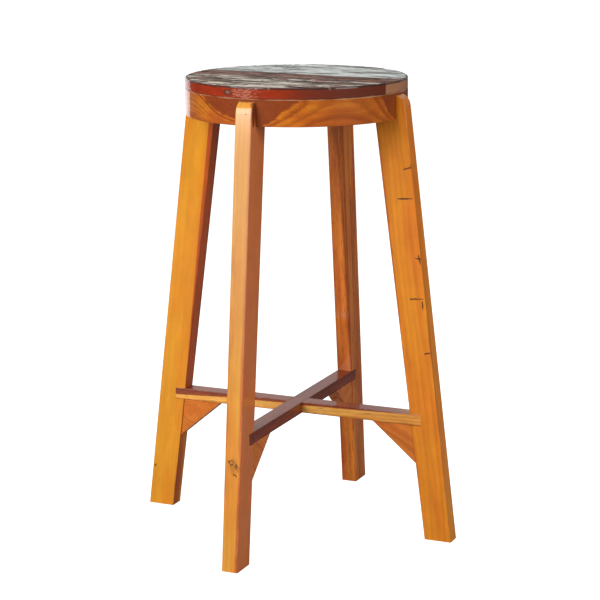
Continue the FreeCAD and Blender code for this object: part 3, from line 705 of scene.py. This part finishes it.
def board_material(name, wood_name, rim_far, coat, second, dirt, left, second_left, grime, shift):
    """An old painted board: paint left on its top, bare lacquered wood on its sawn rim, which goes
    over to another tone towards the right; on the strip and the far board that paler tone is partly
    the wood's own and partly a painted reflection. The near rim has a knot and a scratched patch."""
    material, tree, shader, where = new_material(name)
    inputs = {"Place": where, "Centre": RIM_KNOT, "Reach": RIM_KNOT_REACH, "Push": 0.8}
    knot = place_group(tree, KNOT, inputs)
    log = log_place(tree, knot["Place"], (0.0, shift, SEAT_TOP - 0.07), BOARD_ALONG, 0.3)
    inputs = {
        "Place": log, "Ring width": 0.006, "Wander": 0.012, "Heart edge": 0.0, "Ragged": 0.004,
        "Contrast": 0.3, "Streaks": 0.5, "Pores": 0.3, **WOODS[wood_name],
    }
    timber = place_group(tree, TIMBER, inputs)
    parts = add(tree, "ShaderNodeSeparateXYZ", {"Vector": where}).outputs
    # The rim's tone towards the right; the paler one of the strip and far board is partly a painted
    # reflection.
    rim = blend(tree, step(tree, parts["X"], 0.02, 0.12), timber["Color"], rim_far)
    ragged = add(tree, "ShaderNodeTexNoise", {"Vector": where, "Scale": 120.0, "Detail": 4.0})
    ragged = ragged.outputs["Fac"]
    drawn = turn(tree, "MULTIPLY", where, (150.0, 150.0, 520.0))
    chips = add(tree, "ShaderNodeTexNoise", {"Vector": drawn, "Scale": 1.0, "Detail": 3.0}).outputs["Fac"]
    apart = turn(tree, "LENGTH", turn(tree, "SUBTRACT", where, SCRATCHED))
    here = calc(tree, "SUBTRACT", 1.0, step(tree, apart, 0.006, 0.042))
    worn_edge = step(tree, calc(tree, "MULTIPLY_ADD", here, 0.2, chips), 0.60, 0.70)
    scratched = calc(tree, "MULTIPLY", calc(tree, "MULTIPLY", worn_edge, here), 0.5)
    rim = blend(tree, scratched, rim, SCRATCH_PINK)
    rim = blend(tree, calc(tree, "MULTIPLY", knot["Rim"], 0.75), rim, RIM_KNOT_RING)
    rim = blend(tree, calc(tree, "MULTIPLY", knot["Core"], 0.8), rim, RIM_KNOT_CORE)
    # Pale seam line at the boards' lower edge: worn glue and a painted highlight.
    rim = blend(tree, glue_and_highlight_line(tree, where, BOARD_FLOOR), rim, PALE_GLUE_AND_HIGHLIGHT)
    inputs = {
        "Place": log, "Wood": timber["Color"], "Coat": coat, "Second coat": second, "Dirt": dirt,
        "Left": left, "Second left": second_left, "Grime": grime,
    }
    paint = place_group(tree, OLD_PAINT, inputs)
    from_middle = turn(tree, "LENGTH", turn(tree, "MULTIPLY", where, (1.0, 1.0, 0.0)))
    rim_gap = calc(tree, "SUBTRACT", SEAT_RADIUS, from_middle)
    paint_gap = calc(tree, "MULTIPLY_ADD", ragged, 0.0014, rim_gap)
    on_top = step(tree, paint_gap, 0.0018, 0.0025)
    on_top = calc(tree, "MULTIPLY", on_top, step(tree, parts["Z"], SEAT_TOP - 0.0036, SEAT_TOP - 0.0026))
    dark_gap = calc(tree, "MULTIPLY_ADD", ragged, 0.0060, rim_gap)
    worn_dark = calc(tree, "SUBTRACT", 1.0, step(tree, dark_gap, 0.0050, 0.0075))
    chipped = calc(tree, "MULTIPLY_ADD", ragged, 0.0030, parts["Z"])
    worn_dark = calc(tree, "MULTIPLY", worn_dark, step(tree, chipped, SEAT_TOP - 0.0024, SEAT_TOP - 0.0014))
    across = turn(tree, "DOT_PRODUCT", where, BOARD_ACROSS)
    for joint, left_swell, right_swell in JOINTS:
        gap = calc(tree, "ABSOLUTE", calc(tree, "SUBTRACT", across, joint))
        side = step(tree, parts["X"], -0.05, 0.03)
        swell = calc(tree, "MULTIPLY_ADD", side, right_swell - left_swell, left_swell)
        line = calc(tree, "MULTIPLY", ragged_line(tree, where, gap, swell), on_top)
        worn_dark = calc(tree, "MAXIMUM", worn_dark, line)
    color = blend(tree, on_top, rim, paint["Color"])
    color = blend(tree, calc(tree, "MULTIPLY", worn_dark, 0.85), color, EDGE_DIRT)
    height = add(tree, "ShaderNodeMix", {0: on_top, 2: timber["Height"], 3: paint["Height"]}).outputs[0]
    lacquer(tree, shader, color, height, paint["Gloss"], 0.38, 0.0006)
    lacquered = calc(tree, "MULTIPLY_ADD", on_top, -0.64, 0.7)
    tree.links.new(lacquered, shader.inputs["Coat Weight"])
    return material


# rim_far on the strip and far board is a paler tone, partly a painted reflection at the seat's right end.
BOARD_PAINTS = {
    "seat_board_near": {
        "name": "near_board_paint", "wood_name": "red", "rim_far": (0.14, 0.026, 0.012, 1),
        "coat": (0.11, 0.082, 0.062, 1), "second": (0.64, 0.59, 0.50, 1), "dirt": (0.012, 0.008, 0.006, 1),
        "left": 0.60, "second_left": 0.50, "grime": 0.125, "shift": -0.12,
    },
    "seat_strip_middle": {
        "name": "strip_paint", "wood_name": "brown", "rim_far": (0.40, 0.18, 0.09, 1),
        "coat": (0.10, 0.045, 0.033, 1), "second": (0.26, 0.155, 0.12, 1), "dirt": (0.014, 0.005, 0.004, 1),
        "left": 0.56, "second_left": 0.48, "grime": 0.12, "shift": 0.02,
    },
    "seat_board_far": {
        "name": "far_board_paint", "wood_name": "brown", "rim_far": (0.40, 0.18, 0.09, 1),
        "coat": (0.25, 0.265, 0.26, 1), "second": (0.64, 0.68, 0.65, 1), "dirt": (0.045, 0.040, 0.034, 1),
        "left": 0.64, "second_left": 0.53, "grime": 0.105, "shift": 0.11,
    },
}
FIRST_SEED, SEED_STEP = 3.0, 11.0
BOARD_COLUMNS = 150
ROW_STEP = math.radians(0.5)
RIM_START = math.radians(88.4)
JOINT_SLACK = 0.001
BOARD_THICK = 0.0186
# How far in from the rim and how far down each loop of a board's side lies: a worn upper edge,
# a straight side and an eased lower edge.
BOARD_SIDE = (
    (0.0018, 0.0), (0.0011, 0.00012), (0.0005, 0.0005), (0.00012, 0.0011), (0.0, 0.0020), (0.0, 0.0055),
    (0.0, 0.0090), (0.0, 0.0125), (0.0, 0.0160), (0.0001, 0.0172), (0.0005, 0.0182),
    (0.0012, BOARD_THICK),
)


def uneven(place, across, along, seed):
    """Smooth noise from -1 to 1 drawn out along the boards: features per metre each way."""
    forward, sideways = place.dot(BOARD_ALONG), place.dot(BOARD_ACROSS)
    return noise.noise(Vector((forward * along, sideways * across, place.z * across + seed)))


def worn_depth(place, seed):
    """How far the top of an old board lies under its first face: cupping, grooves and dents."""
    cup = 0.00028 * (1.0 + uneven(place, 16.0, 5.0, seed))
    groove = abs(uneven(place, 210.0, 9.0, seed + 7.0))
    groove = 0.0006 * max(0.0, 0.16 - groove) / 0.16
    broad_groove = abs(uneven(place, 75.0, 6.0, seed + 19.0))
    broad_groove = 0.0007 * max(0.0, 0.10 - broad_groove) / 0.10
    dent = 0.0009 * max(0.0, uneven(place, 60.0, 34.0, seed + 31.0) - 0.42)
    fibre = 0.00009 * (1.0 + uneven(place, 520.0, 40.0, seed + 3.0))
    return cup + groove + broad_groove + dent + fibre


def board_piece(node, seed):
    """A seat board with a worn top and rim, in place of its plain CAD solid."""
    near, far = board_span(node)
    near_is_joint = near > JOINT_SLACK - SEAT_RADIUS
    far_is_joint = far < SEAT_RADIUS - JOINT_SLACK
    first = max(math.asin(max(near / SEAT_RADIUS, -1.0)), -RIM_START)
    last = min(math.asin(min(far / SEAT_RADIUS, 1.0)), RIM_START)
    rows = max(8, round((last - first) / ROW_STEP))

    def level_point(column, row, inset, drop):
        """A point of the board's grid, drawn in from its outline and down from its plain top."""
        radius = SEAT_RADIUS - inset
        angle = first + (last - first) * row / rows
        across = SEAT_RADIUS * math.sin(angle)
        widest = radius * math.sin(RIM_START)
        across = max(across, near + inset * 0.25, -widest)
        across = min(across, far - inset * 0.25, widest)
        along = math.sqrt(radius * radius - across * across) * (2.0 * column / BOARD_COLUMNS - 1.0)
        place = BOARD_ALONG * along + BOARD_ACROSS * across
        place.z = SEAT_TOP - drop
        return place

    mesh_maker = bmesh.new()
    grid = []
    for row in range(rows + 1):
        line = []
        for column in range(BOARD_COLUMNS + 1):
            inset, drop = BOARD_SIDE[0]
            place = level_point(column, row, inset, drop)
            place.z -= worn_depth(place, seed)
            line.append(mesh_maker.verts.new(place))
        grid.append(line)
    for row in range(rows):
        for column in range(BOARD_COLUMNS):
            line, beyond = grid[row], grid[row + 1]
            mesh_maker.faces.new((line[column], line[column + 1], beyond[column + 1], beyond[column]))
    rim = [(column, 0) for column in range(BOARD_COLUMNS)]
    rim += [(BOARD_COLUMNS, row) for row in range(rows)]
    rim += [(column, rows) for column in range(BOARD_COLUMNS, 0, -1)]
    rim += [(0, row) for row in range(rows, 0, -1)]
    above = [grid[row][column] for column, row in rim]
    depth_here = [worn_depth(vertex.co, seed) for vertex in above]
    for inset, drop in BOARD_SIDE[1:]:
        below = []
        for (column, row), worn in zip(rim, depth_here):
            place = level_point(column, row, inset, drop)
            upper = max(0.0, 1.0 - drop / 0.004)
            lower = max(0.0, 1.0 - (BOARD_THICK - drop) / 0.0022)
            chip = max(0.0, uneven(place, 120.0, 120.0, seed + 5.0) - 0.18) * 0.0015
            wave = max(0.0, uneven(place, 55.0, 55.0, seed + 9.0) + 0.1) * 0.0016
            ripple = 0.00022 * (1.0 + uneven(place, 30.0, 30.0, seed + 13.0))
            if (row == 0 and near_is_joint) or (row == rows and far_is_joint):
                inward = BOARD_ACROSS if row == 0 else -BOARD_ACROSS
            else:
                inward = -Vector((place.x, place.y, 0.0)).normalized()
            place += inward * (chip * upper + wave * lower + ripple)
            place.z -= worn * upper
            if drop < BOARD_THICK:
                place.z += 0.35 * wave * lower
            below.append(mesh_maker.verts.new(place))
        for index in range(len(rim)):
            after = (index + 1) % len(rim)
            mesh_maker.faces.new((above[after], above[index], below[index], below[after]))
        above = below
    mesh_maker.faces.new(list(reversed(above)))
    bmesh.ops.recalc_face_normals(mesh_maker, faces=mesh_maker.faces)
    for face in mesh_maker.faces:
        face.smooth = True
    mesh = bpy.data.meshes.new(f"worn_{node}")
    mesh_maker.to_mesh(mesh)
    mesh_maker.free()
    piece = bpy.data.objects.new(f"worn_{node}", mesh)
    bpy.context.scene.collection.objects.link(piece)
    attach(piece, "root")
    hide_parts(node)
    return piece


def dress_boards():
    """The three boards of the top, each in its own old paint."""
    for index, (node, paint) in enumerate(BOARD_PAINTS.items()):
        piece = board_piece(node, FIRST_SEED + SEED_STEP * index)
        material = board_material(**paint)
        piece.data.materials.append(material)
        dress(node, material)


# ---------------------------------------------------------------- floor, light, camera


# Light from the paper behind the stool, how it rises towards the left, and from the dim room.
PAPER_GLOW = 0.5
PAPER_RISE = 1.0
ROOM_GLOW = 0.18
FLOOR_GLOW = 1.0
# Angles in degrees, distance and height in metres, the lens in millimetres.
CAMERA = {
    "azimuth": 23.698, "distance": 3.1910, "height": 1.0946, "pitch": 12.6256,
    "yaw": -0.0677, "roll": -0.2529, "lens": 119.06,
}
MIDDLE = (0.0, 0.0, 0.42)
EDGE_OFFSET, EDGE_HEIGHT = 0.17, 0.55
EDGE_BEARING, EDGE_DISTANCE = 23.0, 2.6


def make_floor():
    """A wide sheet of grey paper that glows white only where the camera sees it directly."""
    mesh = bpy.data.meshes.new("studio_floor")
    edge = 30.0
    corners = [(-edge, -edge, 0), (edge, -edge, 0), (edge, edge, 0), (-edge, edge, 0)]
    mesh.from_pydata(corners, [], [(0, 1, 2, 3)])
    floor = bpy.data.objects.new("studio_floor", mesh)
    bpy.context.scene.collection.objects.link(floor)
    material, tree, shader, where = new_material("studio_paper")
    speck = add(tree, "ShaderNodeTexNoise", {"Vector": where, "Scale": 3.0, "Detail": 2.0})
    color = blend(tree, speck.outputs["Fac"], (0.34, 0.34, 0.338, 1), (0.38, 0.38, 0.378, 1))
    ray = add(tree, "ShaderNodeLightPath").outputs
    color = blend(tree, ray["Is Glossy Ray"], color, (0.13, 0.13, 0.13, 1))
    tree.links.new(color, shader.inputs["Base Color"])
    shader.inputs["Roughness"].default_value = 0.9
    shader.inputs["Emission Color"].default_value = (1.0, 1.0, 1.0, 1)
    glow = calc(tree, "MULTIPLY", ray["Is Camera Ray"], FLOOR_GLOW)
    tree.links.new(glow, shader.inputs["Emission Strength"])
    mesh.materials.append(material)


def make_lamp(name, position, aim, breadth, tall, power, color=(1, 1, 1)):
    """A soft box that points at a place."""
    lamp = bpy.data.lights.new(name, "AREA")
    lamp.shape = "RECTANGLE"
    lamp.size, lamp.size_y = breadth, tall
    lamp.energy = power
    lamp.color = color
    holder = bpy.data.objects.new(name, lamp)
    bpy.context.scene.collection.objects.link(holder)
    holder.location = position
    holder.rotation_euler = (Vector(aim) - Vector(position)).to_track_quat("-Z", "Y").to_euler()


def light_studio():
    """A large key box in front on the left, a fill on the right, a weak box above, and a weak one
    behind on the left for the stool's left edges."""
    make_lamp("key_box", (-1.5, -2.8, 2.13), MIDDLE, 2.4, 2.6, 146.0, (1.0, 0.985, 0.96))
    side = math.radians(CAMERA["azimuth"])
    edge = Vector((-EDGE_OFFSET * math.cos(side), -EDGE_OFFSET * math.sin(side), EDGE_HEIGHT))
    bearing = side + math.radians(EDGE_BEARING)
    place = edge + EDGE_DISTANCE * Vector((-math.sin(bearing), math.cos(bearing), 0.0))
    make_lamp("edge_strip", place, edge, 1.15, 1.1, 5.5)
    make_lamp("fill_box", (3.2, -0.9, 1.6), MIDDLE, 1.4, 2.0, 56.0)
    make_lamp("top_box", (0.2, -0.3, 3.2), MIDDLE, 2.2, 2.2, 12.0)


def make_world():
    """White paper behind the stool and a dim room elsewhere. Seen directly, all of it is white."""
    world = bpy.data.worlds.new("studio_air")
    world.use_nodes = True
    tree = world.node_tree
    glow = tree.nodes["Background"]
    glow.inputs["Color"].default_value = (1.0, 1.0, 1.0, 1)
    ray = add(tree, "ShaderNodeTexCoord").outputs["Generated"]
    side = math.radians(CAMERA["azimuth"])
    behind = turn(tree, "DOT_PRODUCT", ray, (-math.sin(side), math.cos(side), 0.0))
    rightward = turn(tree, "DOT_PRODUCT", ray, (math.cos(side), math.sin(side), 0.0))
    bearing = calc(tree, "ARCTAN2", rightward, behind)
    left_end = step(tree, bearing, math.radians(-37), math.radians(-35))
    right_end = calc(tree, "SUBTRACT", 1.0, step(tree, bearing, math.radians(28), math.radians(36)))
    leftward = calc(tree, "MAXIMUM", calc(tree, "MULTIPLY", bearing, -1.0), 0.0)
    paper = calc(tree, "MULTIPLY_ADD", leftward, PAPER_RISE, PAPER_GLOW)
    paper = calc(tree, "MULTIPLY", paper, calc(tree, "MULTIPLY", left_end, right_end))
    light = calc(tree, "MAXIMUM", paper, ROOM_GLOW)
    seen = add(tree, "ShaderNodeLightPath").outputs["Is Camera Ray"]
    light = add(tree, "ShaderNodeMix", {0: seen, 2: light, 3: 1.05}).outputs[0]
    tree.links.new(light, glow.inputs["Strength"])
    bpy.context.scene.world = world


def make_camera():
    """A long lens, a little above the seat, turned to the front and right of the stool."""
    lens = bpy.data.cameras.new("camera")
    lens.lens = CAMERA["lens"]
    lens.sensor_width = 36.0
    camera = bpy.data.objects.new("camera", lens)
    bpy.context.scene.collection.objects.link(camera)
    side = math.radians(CAMERA["azimuth"])
    distance = CAMERA["distance"]
    place = Vector((distance * math.sin(side), -distance * math.cos(side), CAMERA["height"]))
    heading = side + math.radians(CAMERA["yaw"])
    pitch = math.radians(CAMERA["pitch"])
    ahead = Vector((
        -math.sin(heading) * math.cos(pitch), math.cos(heading) * math.cos(pitch), -math.sin(pitch),
    ))
    right = ahead.cross(Vector((0, 0, 1))).normalized()
    up = right.cross(ahead)
    roll = math.radians(CAMERA["roll"])
    level_right = right * math.cos(roll) + up * math.sin(roll)
    level_up = up * math.cos(roll) - right * math.sin(roll)
    axes = Matrix((level_right, level_up, -ahead)).transposed()
    camera.matrix_world = Matrix.Translation(place) @ axes.to_4x4()
    bpy.context.scene.camera = camera


# ---------------------------------------------------------------- build

make_camera()
make_world()
make_floor()
light_studio()
bpy.context.scene.view_settings.view_transform = "Standard"

dress_legs()
dress_ring()
dress_rails()
dress_gussets()
dress_boards()
dowel_wood = wood_material("dowel_wood", "honey", (0, 0, 0.5), (0, 1, 0), ring=0.003)
screw_steel = steel_material("zinc_steel", (0.30, 0.29, 0.27, 1), (0.52, 0.51, 0.48, 1), 0.28)
pin_iron = steel_material("rusted_pin", (0.016, 0.010, 0.008, 1), (0.055, 0.030, 0.020, 1), 0.55)
for node in ("board_dowels", "rail_end_dowels"):
    dress(node, dowel_wood)
for node in (
    "ring_to_board_screws", "ring_to_leg_screws", "gusset_to_rail_screws", "gusset_to_leg_screws",
    "rail_crossing_screw",
):
    dress(node, screw_steel)
dress("leg_head_pins", pin_iron)
